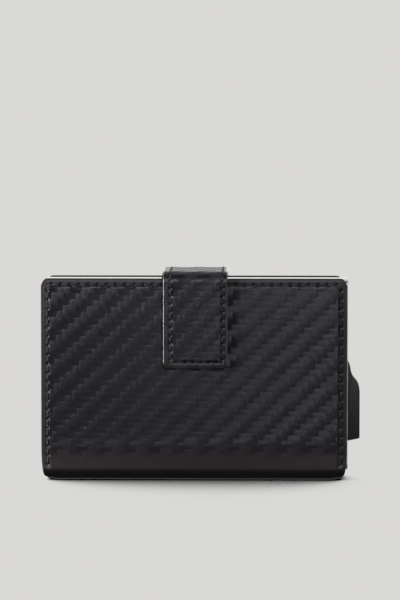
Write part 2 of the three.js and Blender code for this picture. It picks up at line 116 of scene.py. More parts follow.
class Nodes:
    """Short names for building a node tree."""

    def __init__(self, tree):
        self.tree = tree

    def add(self, kind, settings=(), **inputs):
        node = self.tree.nodes.new("ShaderNode" + kind)
        for key, value in dict(settings).items():
            setattr(node, key, value)
        for key, value in inputs.items():
            self.put(node, key.replace("_", " "), value)
        return node

    def put(self, node, key, value):
        socket = node.inputs[int(key)] if key.isdigit() else node.inputs[key]
        if isinstance(value, bpy.types.NodeSocket):
            self.tree.links.new(value, socket)
        else:
            socket.default_value = value

    def math(self, operation, *values):
        node = self.add("Math", {"operation": operation})
        for index, value in enumerate(values):
            self.put(node, str(index), value)
        return node.outputs[0]

    def vector(self, operation, a, b):
        """A sum, product or the like of two vectors."""
        node = self.add("VectorMath", {"operation": operation})
        self.put(node, "0", a)
        self.put(node, "1", b)
        return node.outputs[0]

    def mix(self, factor, a, b):
        """a where factor is 0 and b where it is 1, for numbers."""
        return self.math("MULTIPLY_ADD", factor, self.math("SUBTRACT", b, a), a)

    def mix_vectors(self, factor, a, b):
        node = self.add("Mix", {"data_type": "VECTOR"})
        for key, value in (("0", factor), ("4", a), ("5", b)):
            self.put(node, key, value)
        return node.outputs[1]

    def mix_colours(self, factor, a, b):
        node = self.add("Mix", {"data_type": "RGBA"})
        for key, value in (("0", factor), ("6", a), ("7", b)):
            self.put(node, key, value)
        return node.outputs[2]

    def ramp(self, value, low, high):
        """low where value is 0 and high where it is 1, for plain numbers or colours."""
        if isinstance(low, tuple):
            return self.mix_colours(value, (*low, 1), (*high, 1))
        return self.math("MULTIPLY_ADD", value, high - low, low)

    def attribute(self, name):
        return self.add("Attribute", {"attribute_name": name}).outputs["Vector"]

    def parts(self, vector):
        return self.add("SeparateXYZ", Vector=vector).outputs

    def object_place(self):
        return self.add("TexCoord").outputs["Object"]

    def scaled(self, vector, scale):
        return self.add("Mapping", Vector=vector, Scale=scale).outputs[0]

    def noise(self, vector, scale, detail=3.0, roughness=0.55):
        node = self.add("TexNoise", Vector=vector, Scale=scale, Detail=detail, Roughness=roughness)
        return node.outputs["Fac"]

    def bump(self, height, distance, normal=None):
        node = self.add("Bump", Height=height, Distance=distance)
        if normal is not None:
            self.put(node, "Normal", normal)
        return node.outputs[0]


class Surface(Nodes):
    """A material's node tree round its own shader."""

    def __init__(self, name, colour, roughness, metallic=0.0, specular=0.5):
        self.material = bpy.data.materials.new(name)
        self.material.use_nodes = True
        super().__init__(self.material.node_tree)
        self.shader = self.tree.nodes["Principled BSDF"]
        self.finish(Base_Color=(*colour, 1), Roughness=roughness, Metallic=metallic,
                    Specular_IOR_Level=specular)

    def finish(self, **inputs):
        for key, value in inputs.items():
            self.put(self.shader, key.replace("_", " "), value)
        return self.material


RIDGE_TURNS = 2 * math.pi * 5  # five ridges across a tow
RIDGE_HEIGHT = 0.00004
GRAIN_HEIGHT = 0.000022
GLOSS_SPREAD = 0.85  # the shader's anisotropy: gloss spreads wider across the fibres than along


def twill_nodes(make, place):
    """Mask (1 on upright floats) and the two sheet coordinates in tows."""
    turned = make.add("VectorRotate", {"rotation_type": "Z_AXIS"}, Vector=place, Angle=TWILL_TURN)
    parts = make.parts(turned.outputs[0])
    across = make.math("MULTIPLY_ADD", parts[0], 1 / TOW, 0.5)
    up = make.math("MULTIPLY", parts[1], 1 / TOW)
    column = make.math("FLOOR", across)
    row = make.math("FLOOR", up)
    step = make.math("FLOORED_MODULO", make.math("SUBTRACT", column, row), 4.0)
    return make.math("LESS_THAN", step, 1.5), across, up


def fibre_lines(make, across, along):
    """Fibres printed along a float: ragged ridges across it, with a little noise along it."""
    drawn_out = make.add("CombineXYZ", X=make.math("MULTIPLY", across, 14.0),
                         Y=make.math("MULTIPLY", along, 0.5))
    ragged = make.noise(drawn_out.outputs[0], 1.0, 3.0, 0.6)
    turns = make.math("MULTIPLY", across, RIDGE_TURNS)
    wave = make.math("SINE", make.math("MULTIPLY_ADD", ragged, 5.0, turns))
    return make.math("MULTIPLY_ADD", wave, 0.2, ragged)


def leather_material(name, origin):
    """Black leather embossed with a carbon twill; the sheet attribute is (along, up, emboss)."""
    make = Surface(name, (0.014, 0.0145, 0.016), 0.4)
    sheet = make.attribute("sheet")
    emboss = make.parts(sheet)[2]
    place = make.vector("SUBTRACT", sheet, (*origin, 0))
    upright, across, up = twill_nodes(make, place)
    lines = make.mix(upright, fibre_lines(make, up, across), fibre_lines(make, across, up))

    grain = make.noise(sheet, 3.4, 4.0, 0.6)
    mottle = make.noise(sheet, 0.16, 2.0)
    normal = make.bump(make.math("MULTIPLY", lines, emboss), RIDGE_HEIGHT)
    normal = make.bump(grain, GRAIN_HEIGHT, normal)

    rough = make.ramp(emboss, 0.46, 0.40)
    for texture, share in ((grain, 0.2), (mottle, 0.12)):
        change = make.math("MULTIPLY", make.math("SUBTRACT", texture, 0.5), share)
        rough = make.math("ADD", rough, change)
    plain_colour = make.ramp(mottle, (0.0062, 0.0046, 0.0050), (0.0110, 0.0084, 0.0088))
    twill_colour = make.ramp(mottle, (0.0024, 0.0019, 0.0060), (0.0042, 0.0034, 0.0090))
    printed = make.math("SMOOTH_MIN", emboss, 1.0, 0.1)
    colour = make.mix_colours(printed, plain_colour, twill_colour)

    # Gloss spreads across the fibres: along the wallet on upright floats and on plain leather,
    # up the sheet on the other floats.
    spine_way = make.math("MAXIMUM", upright, make.math("SUBTRACT", 1.0, emboss))
    facing = make.add("NewGeometry").outputs["Normal"]
    up_way = make.vector("CROSS_PRODUCT", facing, (1, 0, 0))
    return make.finish(Base_Color=colour, Roughness=rough, Normal=normal,
                       Specular_Tint=(0.95, 0.92, 1.0, 1), Anisotropic=GLOSS_SPREAD,
                       Tangent=make.mix_vectors(spine_way, up_way, (1, 0, 0)))


def plain_leather_material(name, colour, roughness):
    """Smooth lining leather with a small pebble grain and a little variation."""
    make = Surface(name, colour, roughness, specular=0.4)
    place = make.attribute("sheet")
    pebbles = make.add("TexVoronoi", {"feature": "DISTANCE_TO_EDGE"}, Vector=place, Scale=2.1)
    pores = make.noise(place, 6.0, 4.0, 0.65)
    mottle = make.noise(place, 0.25, 3.0)
    normal = make.bump(make.math("MINIMUM", pebbles.outputs["Distance"], 0.12), 0.0002)
    normal = make.bump(pores, 0.00003, normal)
    rough = make.ramp(mottle, roughness - 0.07, roughness + 0.09)
    dark = tuple(c * 0.8 for c in colour)
    light = tuple(c * 1.35 for c in colour)
    return make.finish(Base_Color=make.ramp(mottle, dark, light), Roughness=rough, Normal=normal)


def edge_paint_material(name, colour, roughness, specular, coat=0.0):
    """Burnished edge paint, with the slight waves of a brushed coat."""
    make = Surface(name, colour, roughness, specular=specular)
    place = make.object_place()
    waves = make.noise(place, 420.0, 3.0)
    fine = make.noise(place, 2600.0, 2.0)
    normal = make.bump(fine, 0.00002, make.bump(waves, 0.00012))
    dark = tuple(c * 0.7 for c in colour)
    light = tuple(c * 1.3 for c in colour)
    return make.finish(Base_Color=make.ramp(waves, dark, light), Normal=normal,
                       Roughness=make.ramp(fine, roughness - 0.08, roughness + 0.08),
                       Coat_Weight=coat, Coat_Roughness=0.2)


def thread_material():
    """Waxed black thread; the strand attribute is (along in mm, angle round it, 0)."""
    make = Surface("thread_black", (0.035, 0.034, 0.033), 0.42)
    parts = make.add("SeparateXYZ", Vector=make.attribute("strand"))
    along = make.math("MULTIPLY", parts.outputs[0], 9.0)
    twist = make.math("SINE", make.math("MULTIPLY_ADD", parts.outputs[1], 2.0, along))
    fuzz = make.noise(make.object_place(), 5200.0, 3.0)
    normal = make.bump(fuzz, 0.00004, make.bump(twist, 0.00006))
    colour = make.ramp(fuzz, (0.008, 0.0078, 0.0075), (0.024, 0.0235, 0.023))
    return make.finish(Base_Color=colour, Roughness=make.ramp(fuzz, 0.32, 0.52), Normal=normal)


def brushed_metal_material(name, colour, roughness, stretch, metallic=1.0):
    """Metal with fine brush lines; stretch is small along the lines and large across them."""
    make = Surface(name, colour, roughness, metallic)
    place = make.object_place()
    lines = make.noise(make.scaled(place, stretch), 1.0, 4.0, 0.6)
    smudge = make.noise(place, 90.0, 3.0)
    rough = make.math("ADD", make.ramp(lines, roughness - 0.08, roughness + 0.1),
                      make.ramp(smudge, -0.05, 0.05))
    dark = tuple(c * 0.86 for c in colour)
    return make.finish(Base_Color=make.ramp(lines, dark, colour), Roughness=rough,
                       Normal=make.bump(lines, 0.00001))


def plastic_material():
    """Moulded black nylon with a fine spark-eroded texture."""
    make = Surface("plastic_black", (0.016, 0.0158, 0.0155), 0.46)
    place = make.object_place()
    texture = make.noise(place, 3400.0, 3.0, 0.6)
    wear = make.noise(place, 160.0, 3.0)
    colour = make.ramp(wear, (0.0125, 0.0122, 0.012), (0.022, 0.0215, 0.021))
    return make.finish(Base_Color=colour, Roughness=make.ramp(wear, 0.38, 0.54),
                       Normal=make.bump(texture, 0.00003))


def felt_material():
    make = Surface("felt_black", (0.014, 0.014, 0.015), 0.95, specular=0.2)
    place = make.object_place()
    fibres = make.noise(make.scaled(place, (1400, 1400, 5000)), 1.0, 4.0, 0.7)
    tufts = make.noise(place, 1500.0, 4.0, 0.7)
    make.shader.inputs["Sheen Weight"].default_value = 0.4
    height = make.math("ADD", fibres, tufts)
    colour = make.ramp(tufts, (0.008, 0.008, 0.009), (0.028, 0.028, 0.03))
    return make.finish(Base_Color=colour, Normal=make.bump(height, 0.00012))


def fibreboard_material(name, colour, roughness):
    make = Surface(name, colour, roughness, specular=0.3)
    place = make.object_place()
    fibres = make.noise(make.scaled(place, (500, 500, 1800)), 1.0, 5.0, 0.7)
    dark = tuple(c * 0.75 for c in colour)
    return make.finish(Base_Color=make.ramp(fibres, dark, colour),
                       Roughness=make.ramp(fibres, roughness - 0.1, roughness + 0.05),
                       Normal=make.bump(fibres, 0.00005))


MATERIALS = {
    "cover_leather": leather_material("cover_leather", COVER_TWILL_ORIGIN),
    "strap_leather": leather_material("strap_leather", STRAP_TWILL_ORIGIN),
    "lining_leather": plain_leather_material("lining_leather", (0.013, 0.013, 0.014), 0.5),
    "pocket_leather": plain_leather_material("pocket_leather", (0.016, 0.016, 0.017), 0.44),
    "edge_paint": edge_paint_material("edge_paint", (0.018, 0.016, 0.015), 0.5, 0.35),
    "glossy_edge": edge_paint_material("glossy_edge", (0.016, 0.016, 0.016), 0.24, 0.9, 0.8),
    # Near-black matte edge paint for the strap's lining: its overhanging left edge is painted
    # shade, standing in for the shadow line beside the strap.
    "raw_edge": edge_paint_material("raw_edge", (0.006, 0.006, 0.006), 0.9, 0.05),
    "thread": thread_material(),
    "aluminium": brushed_metal_material("aluminium", (0.74, 0.745, 0.75), 0.3, (60, 9000, 9000)),
    "nickel": brushed_metal_material("nickel", (0.62, 0.61, 0.59), 0.22, (3000, 3000, 3000)),
    "steel": brushed_metal_material("steel", (0.55, 0.55, 0.56), 0.28, (4000, 300, 4000)),
    "plastic": plastic_material(),
    "felt": felt_material(),
    "board": fibreboard_material("board", (0.36, 0.31, 0.25), 0.85),
    "adhesive": fibreboard_material("adhesive", (0.72, 0.7, 0.64), 0.6),
}


# ---- tracks: where a sheet runs in the plane across the wallet ----------------------------


class Track:
    """Straight and round stretches in the (y, z) plane, measured along their length.

    Each stretch is (length,) or (radius, turn in degrees). The outer face is on the right hand
    of someone walking along it with y ahead and z to the left; side -1 mirrors y, and facing -1
    makes it the left hand.
    """

    def __init__(self, start, heading, stretches, side=1, facing=1):
        self.side, self.facing = side, facing
        self.stretches = []
        point = np.array([start], float)
        angle = np.array([math.radians(heading)])
        begin = 0.0
        for stretch in stretches:
            round_one = len(stretch) == 2
            length = stretch[0] * (abs(math.radians(stretch[1])) if round_one else 1)
            self.stretches.append((begin, point[0], angle[0], stretch))
            point, angle = self.along(point[0], angle[0], stretch, np.array([length]))
            begin += length
        self.length = begin

    @staticmethod
    def along(point, angle, stretch, distance):
        """The points and headings at distances along one stretch."""
        if len(stretch) == 1:
            direction = np.array([math.cos(angle), math.sin(angle)])
            return point + distance[:, None] * direction, np.full(len(distance), angle)
        radius, turn = stretch
        sign = math.copysign(1, turn)
        centre = point + radius * sign * np.array([-math.sin(angle), math.cos(angle)])
        swept = angle + sign * distance / radius
        return centre + radius * sign * np.stack([np.sin(swept), -np.cos(swept)], 1), swept

    def at(self, distance):
        """Points, forward directions and outer normals, each as an array of (x, y, z)."""
        distance = np.asarray(distance, float)
        point = np.zeros((len(distance), 2))
        angle = np.zeros(len(distance))
        for begin, start, heading, stretch in self.stretches:
            here = distance >= begin if begin else np.full(len(distance), True)
            found, turned = self.along(start, heading, stretch, distance[here] - begin)
            point[here], angle[here] = found, turned
        zero = np.zeros(len(distance))
        place = np.stack([zero, self.side * point[:, 0], point[:, 1]], 1)
        ahead = np.stack([zero, self.side * np.cos(angle), np.sin(angle)], 1)
        outward = np.stack([zero, self.side * np.sin(angle), -np.cos(angle)], 1)
        return place, ahead, self.facing * outward


def cover_track(side, top):
    """From the middle of the spine round one fold and up a cover's outer face."""
    flat = FACE_OUT - FOLD_RADIUS
    return Track((0, 0), 0, [(flat,), (FOLD_RADIUS, 90), (top - FOLD_RADIUS,)], side)


# ---- sheets: closed leather pieces with a fine outer face and round edges -------------------


def corner_rows(radius, steps=12):
    """Distances past the start of a round corner, how far it draws in, and its normal's angle."""
    angle = np.linspace(0, math.pi / 2, steps + 1)[1:]
    return radius * np.sin(angle), radius * (1 - np.cos(angle)), angle


def row_places(start, end, step, start_corner, end_corner):
    """Rows along the track: their places, how far they draw in, and their corner angles."""
    low, high = start + start_corner, end - end_corner
    count = max(2, math.ceil((high - low) / step))
    places = [np.linspace(low, high, count + 1)]
    insets = [np.zeros(count + 1)]
    angles = [np.zeros(count + 1)]
    if start_corner:
        past, drawn, angle = corner_rows(start_corner)
        places.insert(0, (low - past)[::-1])
        insets.insert(0, drawn[::-1])
        angles.insert(0, -angle[::-1])
    if end_corner:
        past, drawn, angle = corner_rows(end_corner)
        places.append(high + past)
        insets.append(drawn)
        angles.append(angle)
    return np.concatenate(places), np.concatenate(insets), np.concatenate(angles)


def linked(name, data):
    """A new object in the scene."""
    item = bpy.data.objects.new(name, data)
    bpy.context.scene.collection.objects.link(item)
    return item


def write_mesh(name, vertices, faces, materials, face_materials, smooth_angle=50):
    """A mesh object from points in millimetres."""
    mesh = bpy.data.meshes.new(name)
    mesh.from_pydata((np.asarray(vertices) * MM).tolist(), [], faces)
    for material in materials:
        mesh.materials.append(MATERIALS[material])
    mesh.polygons.foreach_set("material_index", np.asarray(face_materials, dtype=np.int32))
    mesh.polygons.foreach_set("use_smooth", np.ones(len(mesh.polygons), dtype=bool))
    mesh.update()
    mesh.set_sharp_from_angle(angle=math.radians(smooth_angle))
    return linked(name, mesh)


def vector_attribute(piece, name, values):
    attribute = piece.data.attributes.new(name, "FLOAT_VECTOR", "POINT")
    attribute.data.foreach_set("vector", np.asarray(values, dtype=np.float32).ravel())


def leather_sheet(name, track, span, start, end, thickness, step, materials,
                  start_corner=0.0, end_corner=0.0, relief=None, drop=None,
                  sheet_sign=1, sheet_offset=0.0, edge_round=0.35, edge_steps=6):
    """A closed sheet that follows a track, with its outer face as a fine grid.

    span(place) gives the left and right ends of a row. relief(x, place) gives the outer face's
    height and emboss strength, and drop(x, place) moves the whole thickness inwards. An end with a
    corner radius has a round edge, and one without is a plain cut.
    """
    places, insets, angles = row_places(start, end, step, start_corner, end_corner)
    left, right = span(places)
    left = left + insets + edge_round
    right = right - insets - edge_round
    ends = np.clip(places, start + (edge_round if start_corner else 0),
                   end - (edge_round if end_corner else 0))
    columns = max(4, math.ceil((np.max(right) - np.min(left)) / step))
    share = np.linspace(0, 1, columns + 1)
    x = left[:, None] + (right - left)[:, None] * share
    v = np.repeat(ends[:, None], columns + 1, 1)
    rows = len(places) - 1

    # The boundary, anticlockwise from the first row's left end.
    loop = [(0, i) for i in range(columns + 1)]
    loop += [(j, columns) for j in range(1, rows + 1)]
    loop += [(rows, i) for i in range(columns - 1, -1, -1)]
    loop += [(j, 0) for j in range(rows - 1, 0, -1)]
    loop = np.array(loop)
    row, column = loop[:, 0], loop[:, 1]
    at_side = np.where(column == 0, -1.0, np.where(column == columns, 1.0, 0.0))
    out_x = at_side * np.cos(angles[row])
    out_v = np.sin(angles[row])
    flat_ends = ((row == 0) & (start_corner == 0)) | ((row == rows) & (end_corner == 0))
    out_v = np.where(flat_ends, 0.0, out_v)
    edge_x, edge_v = x[row, column], v[row, column]

    all_x, all_v = [x.ravel()], [v.ravel()]
    height, emboss = relief(all_x[0], all_v[0]) if relief else (0 * all_x[0], 0 * all_x[0])
    heights, strengths = [height], [emboss]
    edge_height = height.reshape(x.shape)[row, column]
    for k in range(1, edge_steps + 1):
        turn = math.pi * k / edge_steps
        reach = edge_round * math.sin(turn) ** 0.7 if k < edge_steps else 0.0
        depth = thickness * (1 - math.cos(turn)) / 2
        all_x.append(edge_x + out_x * reach)
        all_v.append(edge_v + out_v * reach)
        heights.append(edge_height * (1 - k / edge_steps) - depth)
        strengths.append(np.zeros(len(loop)))
    all_x, all_v = np.concatenate(all_x), np.concatenate(all_v)
    heights = np.concatenate(heights)
    if drop:
        heights = heights - drop(all_x, all_v)
    place, _, outward = track.at(all_v)
    vertices = place + outward * heights[:, None]
    vertices[:, 0] = all_x

    grid = np.arange((rows + 1) * (columns + 1)).reshape(rows + 1, columns + 1)
    quads = np.stack([grid[:-1, :-1], grid[:-1, 1:], grid[1:, 1:], grid[1:, :-1]], -1)
    faces = quads.reshape(-1, 4).tolist()
    face_materials = [0] * len(faces)
    rings = [grid[row, column]]
    first = grid.size
    for k in range(edge_steps):
        rings.append(np.arange(first, first + len(loop)))
        first += len(loop)
    for upper, lower in zip(rings, rings[1:]):
        band = np.stack([upper, lower, np.roll(lower, -1), np.roll(upper, -1)], 1)
        faces += band.tolist()
        face_materials += [1] * len(band)

    # The back: one strip for each pair of rows, and the end rows with all their points.
    inner = {tuple(key): int(ring) for key, ring in zip(loop.tolist(), rings[-1])}
    first_row = [inner[0, i] for i in range(columns + 1)]
    last_row = [inner[rows, i] for i in range(columns + 1)]
    for j in range(rows):
        low = first_row if j == 0 else [inner[j, 0], inner[j, columns]]
        high = last_row if j == rows - 1 else [inner[j + 1, 0], inner[j + 1, columns]]
        faces.append(high + low[::-1])
        face_materials.append(2)
    if track.side * track.facing > 0:
        faces = [face[::-1] for face in faces]
    piece = write_mesh(name, vertices, faces, materials, face_materials)
    up_sheet = sheet_sign * all_v + sheet_offset
    vector_attribute(piece, "sheet", np.stack([all_x, up_sheet, np.concatenate(strengths)], 1))
    return piece


# ---- stitches --------------------------------------------------------------------------


def seam_holes(corners, pitch, corner_radius=1.2):
    """Hole places along a line of straight runs joined by small round corners."""
    points = [np.array(corners[0], float)]
    for before, here, after in zip(corners, corners[1:], corners[2:]):
        before, here, after = (np.array(p, float) for p in (before, here, after))
        into = (here - before) / np.linalg.norm(here - before)
        away = (after - here) / np.linalg.norm(after - here)
        for t in np.linspace(0, 1, 7):
            curve = here - into * corner_radius * (1 - t) ** 2 + away * corner_radius * t**2
            points.append(curve)
    points.append(np.array(corners[-1], float))
    points = np.array(points)
    runs = np.linalg.norm(np.diff(points, axis=0), axis=1)
    total = np.concatenate([[0], np.cumsum(runs)])
    count = max(1, round(total[-1] / pitch))
    wanted = np.linspace(0, total[-1], count + 1)
    return np.stack([np.interp(wanted, total, points[:, k]) for k in (0, 1)], 1)
def stitches(name, track, holes, ground, lift):
    """Thread along a seam: one bent strand from each hole to the next, leaning a little.

    ground(x, place) is the height of the leather that the thread lies on.
    """
    steps, sides = 9, 8
    t = np.linspace(0, 1, steps)
    first, second = holes[:-1], holes[1:]
    count = len(first)
    run = second - first
    across = np.stack([-run[:, 1], run[:, 0]], 1)
    across = across / np.linalg.norm(across, axis=1)[:, None]
    begin = first + across * STITCH_LEAN
    ahead = (second - across * STITCH_LEAN) - begin
    length = np.linalg.norm(ahead, axis=1)
    share = STRAND_GAP + (1 - 2 * STRAND_GAP) * t
    middle = begin[:, None, :] + ahead[:, None, :] * share[None, :, None]
    # A strand comes steeply out of its hole, thickens, and runs nearly level between.
    rise = -HOLE_DEPTH + (lift + HOLE_DEPTH) * np.sin(np.pi * t) ** 0.45
    radius = np.tile(THREAD_RADIUS * (0.55 + 0.45 * np.sin(np.pi * t) ** 0.4), count)

    flat_x, flat_v = middle[..., 0].ravel(), middle[..., 1].ravel()
    place, forward, outward = track.at(flat_v)
    place[:, 0] = flat_x
    height = np.tile(rise, count) + ground(flat_x, flat_v)
    place = place + outward * height[:, None]
    direction = np.repeat(ahead / length[:, None], steps, 0)
    side = forward * direction[:, :1]
    side[:, 0] -= direction[:, 1]
    along = np.tile(t * length.mean(), count)
    vertices, strands = [], []
    for k in range(sides):
        turn = 2 * math.pi * k / sides
        ring = outward * math.cos(turn) * THREAD_FLATNESS + side * math.sin(turn)
        vertices.append(place + ring * radius[:, None])
        strands.append(np.stack([along, np.full(len(along), turn), 0 * along], 1))

    faces = []
    for base in range(0, count * steps * sides, steps * sides):
        for j in range(steps - 1):
            for k in range(sides):
                a = base + j * sides + k
                b = base + j * sides + (k + 1) % sides
                faces.append([a, b, b + sides, a + sides])
        faces.append([base + k for k in range(sides)][::-1])
        faces.append([base + (steps - 1) * sides + k for k in range(sides)])
    points = np.stack(vertices, 1).reshape(-1, 3)
    piece = write_mesh(name, points, faces, ["thread"], [0] * len(faces), 80)
    vector_attribute(piece, "strand", np.stack(strands, 1).reshape(-1, 3))
    repair = bmesh.new()
    repair.from_mesh(piece.data)
    bmesh.ops.recalc_face_normals(repair, faces=repair.faces)
    repair.to_mesh(piece.data)
    repair.free()
    return piece


def ground_for(relief, clearance):
    """Height that a seam's thread lies on, a little over the leather without its holes."""
    return lambda x, v: relief(x, v)[0] + clearance


def pits(x, v, holes, depth, radius):
    """How far the needle holes pull the face down."""
    sunk = np.zeros(len(x))
    for hole_x, hole_v in holes:
        near = (np.abs(x - hole_x) < 3 * radius) & (np.abs(v - hole_v) < 3 * radius)
        away = (x[near] - hole_x) ** 2 + (v[near] - hole_v) ** 2
        sunk[near] += depth * np.exp(-away / radius**2)
    return sunk


def pressed_line(distance, depth, width):
    """Depth of a soft line pressed into the face, at a distance from its middle."""
    return depth * np.exp(-((distance / width) ** 2))


def twill(x, v, origin):
    """Height, 0 to 1, of the embossed two-over, two-under twill."""
    dx, dv = x - origin[0], v - origin[1]
    across = (dx * math.cos(TWILL_TURN) - dv * math.sin(TWILL_TURN)) / TOW + 0.5
    up = (dx * math.sin(TWILL_TURN) + dv * math.cos(TWILL_TURN)) / TOW
    column, row = np.floor(across), np.floor(up)
    part_across, part_up = across - column, up - row
    step = np.mod(column - row, 4)
    upright = step < 1.5
    side = np.where(upright, part_across, part_up) - 0.5
    along = np.where(upright, part_up - step, part_across - (3 - step))
    height = (1 - np.abs(2 * side) ** 4) * (1 - np.abs(along) ** 6)
    return height * np.where(upright, 1.0, 0.72)


# ---- covers and linings -------------------------------------------------------------------

FLAT_RUN = FACE_OUT - FOLD_RADIUS
FOLD_RUN = FOLD_RADIUS * math.pi / 2
SHEET_TO_HEIGHT = FOLD_RADIUS - FLAT_RUN - FOLD_RUN  # added to a place on a cover, gives its z
CURL = 0.35  # how far the covers' upper part bends back
CURL_START = 48.0
BOW = 0.3  # how far the side edges stand back from a cover's middle
CROWN = 0.34  # how far the cover's face drops to its edges
CROWN_WIDTH = 3.4
SEAM_INSET = 2.1
SEAM_LOW = FLAT_RUN + FOLD_RUN + 1.2
SEAM_PITCH = 3.0


def drawn_in(z, half_length):
    """How far a side edge stands in from its full half length at a height over the spine."""
    share = np.clip(1 - z / INSET_HEIGHT, 0, 1)
    low = np.clip(1 - z / SPINE_ROUND, 0, 1)
    corner = SPINE_ROUND_INSET * (1 - np.sqrt(1 - low**2))
    return (half_length - SPINE_HALF_LENGTH) * share**3 + corner


def cover_span(half_length):
    """Left and right ends of a row on a cover, drawn in towards the spine."""

    def span(place):
        z = np.maximum(place + SHEET_TO_HEIGHT, 0)
        half = half_length - drawn_in(z, half_length)
        return -half, half

    return span


def edge_distance(x, v, span, end):
    """Distance in from the nearest of the left, right and top edges."""
    left, right = span(v)
    return np.minimum(np.minimum(x - left, right - x), end - v)


def cover_relief(holes, sheet_sign, half_length, end):
    """A cover's twill inside its seam, and its plain rim that drops to the edges."""
    span = cover_span(half_length)

    def relief(x, v):
        distance = edge_distance(x, v, span, end)
        z = v + SHEET_TO_HEIGHT
        border = smooth(SEAM_INSET - 0.2, SEAM_INSET + 0.8, distance)
        emboss = border * smooth(*TWILL_FADE, z)
        height = TWILL_DEPTH * emboss * (twill(x, sheet_sign * v, COVER_TWILL_ORIGIN) - 0.6)
        groove = pressed_line(distance - SEAM_INSET, depth=0.16, width=0.5) * (v > SEAM_LOW - 1)
        crown = -CROWN * (1 - smooth(0, CROWN_WIDTH, distance))
        curl = -CURL * np.clip((z - CURL_START) / (COVER_TOPS["front"] - CURL_START), 0, 1) ** 2
        bow = -BOW * (x / half_length) ** 2
        wander = 0.05 * np.sin(x / 13 + 1.3) * np.sin(z / 17 + 0.4) * smooth(2, 9, distance)
        surface = height - groove + crown + curl + bow * smooth(0, 10, z) + wander
        return surface - pits(x, v, holes, depth=0.34, radius=0.42), emboss

    return relief


def make_covers():
    """Outer leather of both covers, each from the middle of the spine, and its seam's thread."""
    for side, node in ((-1, "front"), (1, "back")):
        top, half_length = COVER_TOPS[node], HALF_LENGTHS[node] + EDGE_PAINT
        end = top - SHEET_TO_HEIGHT
        track = cover_track(side, top)
        x, high = half_length - SEAM_INSET, end - SEAM_INSET
        holes = seam_holes([(-x, SEAM_LOW), (-x, high), (x, high), (x, SEAM_LOW)], SEAM_PITCH)
        leather = leather_sheet(
            f"{node}_outer_leather", track, cover_span(half_length), 0, end, LEATHER, GRID_STEP,
            ["cover_leather", "edge_paint", "lining_leather"], end_corner=TOP_CORNERS[node],
            relief=cover_relief(holes, -side, half_length, end), sheet_sign=-side,
            edge_round=0.45,
        )
        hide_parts(f"{node}_cover_leather", *(["spine_leather"] if side < 0 else []))
        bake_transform(leather)

        ground = ground_for(cover_relief((), 1, half_length, end), clearance=0.13)
        thread = stitches(f"{node}_cover_thread", track, holes, ground, lift=0.14)
        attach(thread, f"{node}_cover")


LINING_SET = 0.4  # how far the linings stand in from the leather's edges
LINING_TRIM = 0.2
LINING_LOW = LEATHER + LAYER_GAP + LINING
LINING_FOLD = 1.4
LINING_FACES = {"front": -box_mm("front_lining")[1][1], "back": box_mm("back_lining")[0][1]}
LINING_TOPS = {"front": COVER_TOPS["front"] - LINING_SET, "back": box_mm("back_lining")[1][2]}
LINING_CORNERS = {"front": TOP_CORNERS["front"] - LINING_SET, "back": 0.8}
BOARD_MARGIN = HALF_LENGTHS["front"] - box_mm("front_cover_board")[1][0]
RIM_DROP = 0.55


def lining_track(side, face):
    """From the middle of the spine lining's upper face up the inner face of a cover's lining."""
    stretches = [(face - LINING_FOLD,), (LINING_FOLD, 90), (COVER_TOPS["front"],)]
    return Track((0, LINING_LOW), 0, stretches, side, facing=-1)


def lining_span(track, half_length):
    """Left and right ends of a row on a lining, a little inside the leather's."""

    def span(place):
        z = track.at(place)[0][:, 2]
        half = half_length - LINING_SET - drawn_in(z, half_length) - LINING_TRIM
        return -half, half

    return span


def rim_drop(end):
    """The front lining's rim closes on the leather outside the stiffening board."""

    def span(place):
        left, right = cover_span(HALF_LENGTHS["front"])(place)
        return left + LINING_SET, right - LINING_SET

    def drop(x, v):
        distance = edge_distance(x, v, span, end)
        return RIM_DROP * (1 - smooth(1.6, BOARD_MARGIN, distance))

    return drop


def make_linings():
    """Inner linings, each from the middle of the spine up one cover."""
    for node, side in (("front", -1), ("back", 1)):
        face, top = LINING_FACES[node], LINING_TOPS[node]
        track = lining_track(side, face)
        end = face - LINING_FOLD + LINING_FOLD * math.pi / 2 + top - LINING_LOW - LINING_FOLD
        lining = leather_sheet(
            f"{node}_inner_lining", track, lining_span(track, HALF_LENGTHS[node]), 0, end,
            LINING - 0.1, COARSE_STEP, ["lining_leather", "edge_paint", "lining_leather"],
            end_corner=LINING_CORNERS[node], drop=rim_drop(end) if node == "front" else None,
            edge_round=0.3, edge_steps=4,
        )
        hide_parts(f"{node}_lining", *(["spine_lining"] if side < 0 else []))
        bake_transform(lining)


def even_span(left, right):
    """The same left and right ends on every row."""
    return lambda place: (np.full(len(place), left), np.full(len(place), right))


def make_pocket(node):
    """One card pocket, sewn down at its sides, with its upper edge folded over."""
    low, high = box_mm(node)
    track = Track((high[1], low[2]), 90, [(high[2] - low[2],)])
    end = track.length

    def drop(x, v):
        return 0.3 * (1 - smooth(1.2, 4.5, high[0] - np.abs(x)))

    def relief(x, v):
        fold = 0.07 * smooth(3.4, 3.0, end - v)
        crease = pressed_line(end - v - 3.2, depth=0.10, width=0.35)
        return fold - crease, np.zeros(len(x))

    pocket = leather_sheet(
        f"{node}_sheet", track, even_span(low[0], high[0]), 0, end, high[1] - low[1] - 0.06,
        COARSE_STEP, ["pocket_leather", "edge_paint", "pocket_leather"], start_corner=0.6,
        end_corner=0.6, relief=relief, drop=drop, edge_round=0.25, edge_steps=4,
    )
    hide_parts(node)
    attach(pocket, "front_cover")


# ---- closing strap ------------------------------------------------------------------------

